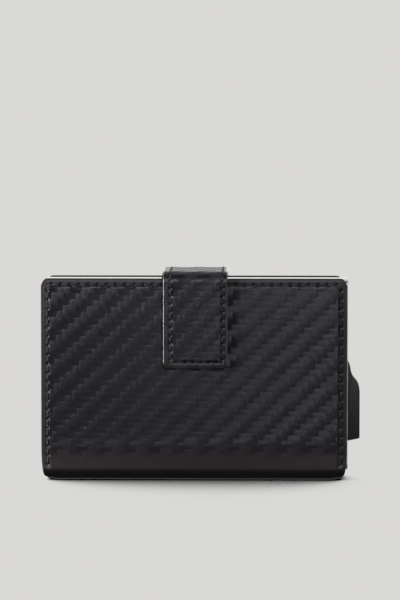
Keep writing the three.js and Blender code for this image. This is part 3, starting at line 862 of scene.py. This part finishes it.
STRAP_LEATHER = 1.2
STRAP_LINING = 0.75
STRAP_CORNER = 2.2
STRAP_MIDDLE_DEPTH = 1.0  # half way into the strap, where its bends neither stretch nor shrink
STRAP_BOW = 0.22  # how far its side edges stand back from its middle
STRAP_LEFT, STRAP_RIGHT = TAB_LOW[0], TAB_HIGH[0]
PAINTED_SHADE_OVERHANG = 0.4  # the strap's lining stands 0.4 mm out past the leather along the left edge, its near-black edge painted shade for the shadow line there
STRAP_SEAM_INSET = 2.0
STRAP_SEAM_SHIFT = 0.4  # the strap's seams sit a little to the right of its middle
STRAP_SEAM_PITCH = 2.6
SEAM_LEFT = STRAP_LEFT + STRAP_SEAM_INSET + STRAP_SEAM_SHIFT
SEAM_RIGHT = STRAP_RIGHT - STRAP_SEAM_INSET + STRAP_SEAM_SHIFT

TAB_BEND = 1.5 + STRAP_LINING + LAYER_GAP + STRAP_LEATHER
ANCHOR_BEND = 0.9 + STRAP_LINING + LAYER_GAP + STRAP_LEATHER
ANCHOR_RISE = STRAP_TOP - ANCHOR_BEND - ANCHOR_LOW[2]
ANCHOR_ROUND = ANCHOR_BEND * math.pi / 2
STRAP_ACROSS = ANCHOR_HIGH[1] - ANCHOR_BEND - (TAB_LOW[1] + TAB_BEND)
TAB_ROUND = TAB_BEND * math.pi / 2
TAB_DROP = STRAP_TOP - TAB_BEND - TAB_LOW[2]
STRAP_MIDDLE = ANCHOR_RISE + ANCHOR_ROUND + STRAP_ACROSS / 2


def strap_track(depth):
    """From the anchor's lower end up the back, over the top and down the tab to its lower end."""
    return Track((ANCHOR_HIGH[1] - depth, ANCHOR_LOW[2]), 90,
                 [(ANCHOR_RISE,), (ANCHOR_BEND - depth, 90), (STRAP_ACROSS,),
                  (TAB_BEND - depth, 90), (TAB_DROP,)])


STRAP_OUTER = strap_track(0)
STRAP_INNER = strap_track(STRAP_LEATHER + LAYER_GAP)
STRAP_END = STRAP_OUTER.length


def strap_relief(holes):
    """The strap's twill and seam groove, with bowed, rounded edges where it hangs down."""

    def relief(x, v):
        ends = np.minimum(v, STRAP_END - v)
        sides = np.minimum(x - SEAM_LEFT, SEAM_RIGHT - x) + STRAP_SEAM_INSET
        distance = np.minimum(sides, ends)
        emboss = smooth(STRAP_SEAM_INSET - 0.2, STRAP_SEAM_INSET + 0.7, distance)
        emboss = 0.12 + 0.88 * emboss
        height = TWILL_DEPTH * emboss * (twill(x, STRAP_END - v, STRAP_TWILL_ORIGIN) - 0.6)
        groove = pressed_line(distance - STRAP_SEAM_INSET, depth=0.14, width=0.45)
        from_edge = np.minimum(np.minimum(x - STRAP_LEFT, STRAP_RIGHT - x), ends)
        crown = -0.12 * (1 - smooth(0, 3.0, from_edge))
        off_middle = (x - (STRAP_LEFT + STRAP_RIGHT) / 2) / (STRAP_RIGHT - STRAP_LEFT) * 2
        bow = -STRAP_BOW * off_middle**2
        hanging = smooth(STRAP_ACROSS / 2, STRAP_ACROSS / 2 + 2 * TAB_BEND,
                         np.abs(v - STRAP_MIDDLE))
        surface = height - groove + (crown + bow) * hanging
        return surface - pits(x, v, holes, depth=0.3, radius=0.4), emboss

    return relief


def lining_middle():
    """The place on the lining's track that lies under the middle of the leather's."""
    wanted = STRAP_OUTER.at([STRAP_MIDDLE])[0][0][1]
    places = np.linspace(0, STRAP_INNER.length, 2000)
    points = STRAP_INNER.at(places)[0]
    top = points[:, 2] > points[:, 2].max() - 0.01
    return places[top][np.argmin(np.abs(points[top, 1] - wanted))]


def bend_ends(first, length):
    """Where a bend of the strap starts and ends half way into the strap, in metres."""
    place, _, outward = STRAP_OUTER.at([first, first + length])
    points = (place - outward * STRAP_MIDDLE_DEPTH) * MM
    return tuple(points[0]), tuple(points[1])


LINING_MIDDLE = lining_middle()
STRAP_HALVES = (
    {"name": "rear", "leather_run": (0, STRAP_MIDDLE), "lining_run": (0, LINING_MIDDLE),
     "corner": {"start_corner": STRAP_CORNER}, "seam_turn": STRAP_SEAM_INSET,
     "leather_nodes": ("strap_anchor_leather", "strap_bridge_leather"),
     "lining_nodes": ("strap_anchor_lining", "strap_bridge_lining"),
     "bodies": ("back_cover", "strap_bridge"), "bend": (ANCHOR_RISE, ANCHOR_ROUND)},
    {"name": "front", "leather_run": (STRAP_MIDDLE, STRAP_END),
     "lining_run": (LINING_MIDDLE, STRAP_INNER.length),
     "corner": {"end_corner": STRAP_CORNER}, "seam_turn": STRAP_END - STRAP_SEAM_INSET,
     "leather_nodes": ("strap_tab_leather",), "lining_nodes": ("strap_tab_lining",),
     "bodies": ("strap_bridge", "strap_tab"),
     "bend": (ANCHOR_RISE + ANCHOR_ROUND + STRAP_ACROSS, TAB_ROUND)},
)


def make_strap_half(name, leather_run, lining_run, corner, seam_turn, leather_nodes,
                    lining_nodes, bodies, bend):
    """Leather, lining and thread on one side of the middle of the strap's top."""
    holes = seam_holes([(SEAM_LEFT, STRAP_MIDDLE), (SEAM_LEFT, seam_turn),
                        (SEAM_RIGHT, seam_turn), (SEAM_RIGHT, STRAP_MIDDLE)], STRAP_SEAM_PITCH)
    leather = leather_sheet(
        f"strap_{name}_leather", STRAP_OUTER, even_span(STRAP_LEFT, STRAP_RIGHT), *leather_run,
        STRAP_LEATHER, STRAP_STEP, ["strap_leather", "glossy_edge", "lining_leather"],
        relief=strap_relief(holes), sheet_sign=-1, sheet_offset=STRAP_END, edge_round=0.4,
        **corner,
    )
    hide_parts(*leather_nodes)
    # The lining's near-black left edge stands out past the leather as painted shade: the dark
    # shadow line beside the strap.
    lining = leather_sheet(
        f"strap_{name}_lining", STRAP_INNER, even_span(STRAP_LEFT - PAINTED_SHADE_OVERHANG, STRAP_RIGHT),
        *lining_run, STRAP_LINING, COARSE_STEP, ["raw_edge", "raw_edge", "lining_leather"],
        edge_round=0.3, edge_steps=5, **corner,
    )
    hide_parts(*lining_nodes)
    ground = ground_for(strap_relief(()), clearance=0.1)
    thread = stitches(f"strap_{name}_thread", STRAP_OUTER, holes, ground, lift=0.12)
    for piece in (leather, lining, thread):
        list(bend_ends(*bend))
        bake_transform(piece)


# ---- hard pieces: bevelled copies of the CAD solids -------------------------------------

FLAT_ANGLE = math.radians(1)
SHARP_ANGLE = math.radians(28)
ROUND_ANGLE = math.radians(40)


def bevelled(name, node, material, body, width):
    """A copy of a CAD solid with its flat faces joined up and its edges rounded off."""
    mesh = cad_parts[node].data.copy()
    work = bmesh.new()
    work.from_mesh(mesh)
    bmesh.ops.remove_doubles(work, verts=work.verts, dist=1e-6)
    bmesh.ops.dissolve_limit(work, angle_limit=FLAT_ANGLE,
                             verts=work.verts, edges=work.edges)
    sharp = [e for e in work.edges
             if len(e.link_faces) == 2 and e.calc_face_angle(0) > SHARP_ANGLE]
    bmesh.ops.bevel(work, geom=sharp, offset=width * MM, segments=2, profile=0.5,
                    affect="EDGES", clamp_overlap=True)
    work.to_mesh(mesh)
    work.free()
    mesh.materials.clear()
    mesh.materials.append(MATERIALS[material])
    mesh.polygons.foreach_set("material_index", np.zeros(len(mesh.polygons), dtype=np.int32))
    mesh.polygons.foreach_set("use_smooth", np.ones(len(mesh.polygons), dtype=bool))
    mesh.set_sharp_from_angle(angle=ROUND_ANGLE)
    piece = linked(name, mesh)
    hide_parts(node)
    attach(piece, body)
    return piece


HARD_PIECES = (  # piece, CAD node, material, body, width of its bevels, slot
    ("aluminium_case", "case_shell", "aluminium", "back_cover", 0.12, "case_aluminium"),
    ("moulded_guide", "case_guide", "plastic", "back_cover", 0.15, "black_plastic"),
    ("pivot_pin", "lever_pin", "steel", "back_cover", 0.15, "snap_metal"),
    ("brake_felt_front", "brake_strip_front", "felt", "back_cover", 0.25, "felt"),
    ("brake_felt_back", "brake_strip_back", "felt", "back_cover", 0.25, "felt"),
    ("thumb_lever", "ejector_lever", "plastic", "lever", 0.25, "black_plastic"),
    ("stud", "snap_stud", "nickel", "front_cover", 0.08, "snap_metal"),
    ("stud_rivet", "snap_rivet", "nickel", "front_cover", 0.08, "snap_metal"),
    ("socket", "snap_socket", "nickel", "strap_tab", 0.08, "snap_metal"),
    ("socket_cap", "snap_cap", "nickel", "strap_tab", 0.08, "snap_metal"),
)


def make_hard_pieces():
    for name, node, material, body, width, slot in HARD_PIECES:
        piece = bevelled(name, node, material, body, width)


def dress_hidden_nodes():
    """The boards and the adhesive pad keep their CAD solids and get their materials."""
    for node, material in (("front_cover_board", "board"), ("back_cover_board", "board"),
                           ("case_adhesive_pad", "adhesive")):
        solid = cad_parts[node]
        for slot in solid.material_slots:
            slot.material = MATERIALS[material]


# ---- stage, light and camera ----------------------------------------------------------------

BACKDROP = (0.7011, 0.6939, 0.6795)
CAMERA_DISTANCE = 1.4
CAMERA_RISE = math.radians(5.3)
CAMERA_TURN = math.radians(1.0)
VIEW_HEIGHT = 0.1964
SENSOR = 36.0
AIM = Vector((0.0020, COVER_LOW[1] * MM, 0.0596))
LIGHTS_AIM = Vector((0, -0.009, 0.035))
FRONT_FILL = 0.27
BACK_FILL = 1.75
SHADOW_REACH = 0.25
SHADOW_LEAN = (-0.25, 0.60, 0.76)  # towards the light that makes the contact shadow
FLOOR_SIZE = 6.0
FLOOR_DROP = 0.00002


def direction(turn, rise):
    """A unit vector from `turn` right of the front, and `rise` above the level, in radians."""
    level = math.cos(rise)
    return Vector((level * math.sin(turn), -level * math.cos(turn), math.sin(rise)))


def make_camera():
    data = bpy.data.cameras.new("camera")
    data.sensor_fit = "VERTICAL"
    data.sensor_height = SENSOR
    data.lens = SENSOR * CAMERA_DISTANCE / VIEW_HEIGHT
    data.clip_start, data.clip_end = 0.05, 60
    camera = linked("camera", data)
    away = direction(CAMERA_TURN, CAMERA_RISE)
    camera.location = AIM + away * CAMERA_DISTANCE
    facing = (-away).to_track_quat("-Z", "Y").to_matrix().to_4x4()
    camera.matrix_world = Matrix.Translation(camera.location) @ facing
    bpy.context.scene.camera = camera


def softbox(name, turn, rise, distance, size, power):
    """A light aimed at the wallet, from `turn` degrees right of the front and `rise` above it."""
    data = bpy.data.lights.new(name, "AREA")
    data.shape = "RECTANGLE"
    data.size, data.size_y = size
    data.energy = power
    light = linked(name, data)
    towards = direction(math.radians(turn), math.radians(rise))
    light.location = LIGHTS_AIM + towards * distance
    light.rotation_euler = (-towards).to_track_quat("-Z", "Y").to_euler()


def make_lights():
    """Softboxes, each with its turn and rise in degrees, distance, size and power."""
    softbox("left_softbox", -60, 6, 0.8, (0.30, 0.24), 4.2)
    softbox("left_edge_softbox", -90, 4, 0.7, (0.20, 0.5), 7.0)
    softbox("right_edge_softbox", 88, 6, 0.8, (0.2, 0.5), 1.2)
    softbox("right_softbox", 9, 22, 0.8, (0.10, 0.26), 1.7)
    softbox("top_softbox", 180, 70, 0.9, (0.9, 0.6), 1.5)


def make_world():
    """A studio that is bright behind the wallet, and dim in front of it and low down."""
    world = bpy.data.worlds.new("studio")
    bpy.context.scene.world = world
    world.use_nodes = True
    world.node_tree.nodes.clear()
    make = Nodes(world.node_tree)
    way = make.parts(make.add("TexCoord").outputs["Generated"])
    step = {"interpolation_type": "SMOOTHSTEP"}
    fill = make.add("MapRange", step, Value=way["Y"], From_Min=0.5, From_Max=0.99,
                    To_Min=FRONT_FILL, To_Max=BACK_FILL)
    above = make.add("MapRange", step, Value=way["Z"], From_Min=-0.55, From_Max=-0.05,
                     To_Min=0.25, To_Max=1.0)
    strength = make.math("MULTIPLY", fill.outputs[0], above.outputs[0])
    lit = make.add("Background", Color=(*BACKDROP, 1), Strength=strength)
    seen = make.add("Background", Color=(*BACKDROP, 1))
    mix = make.add("MixShader")
    make.put(mix, "0", make.add("LightPath").outputs["Is Camera Ray"])
    make.put(mix, "1", lit.outputs[0])
    make.put(mix, "2", seen.outputs[0])
    make.add("OutputWorld", Surface=mix.outputs[0])


def floor_material():
    """The backdrop's colour, darkened where the wallet shades it."""
    material = bpy.data.materials.new("floor")
    material.use_nodes = True
    material.node_tree.nodes.clear()
    make = Nodes(material.node_tree)
    lean = make.add("CombineXYZ", **dict(zip("XYZ", SHADOW_LEAN)))
    shade = make.add("AmbientOcclusion", {"samples": 24}, Distance=SHADOW_REACH,
                     Normal=lean.outputs[0])
    spread = make.add("MapRange", Value=shade.outputs["AO"], From_Min=0.305, From_Max=0.665,
                      To_Min=1.0, To_Max=0.0)
    shadow = make.math("POWER", spread.outputs[0], 2.2)
    glow = make.add("Emission", Color=(*BACKDROP, 1), Strength=make.math("SUBTRACT", 1.0, shadow))
    make.add("OutputMaterial", Surface=glow.outputs[0])
    return material


def make_floor():
    """A plain pale floor that runs into the backdrop, darker only where the wallet shades it."""
    mesh = bpy.data.meshes.new("floor")
    half = FLOOR_SIZE
    mesh.from_pydata([(-half, -half, 0), (half, -half, 0), (half, half, 0), (-half, half, 0)],
                     [], [(0, 1, 2, 3)])
    mesh.materials.append(floor_material())
    floor = linked("floor", mesh)
    floor.location.z = -FLOOR_DROP
    floor.visible_glossy = False
    floor.visible_diffuse = False


bpy.context.scene.view_settings.view_transform = "Standard"
make_camera()
make_world()
make_lights()
make_floor()
make_covers()
make_linings()
for pocket_node in ("card_pocket_upper", "card_pocket_lower"):
    make_pocket(pocket_node)
for half in STRAP_HALVES:
    make_strap_half(**half)
make_hard_pieces()
dress_hidden_nodes()
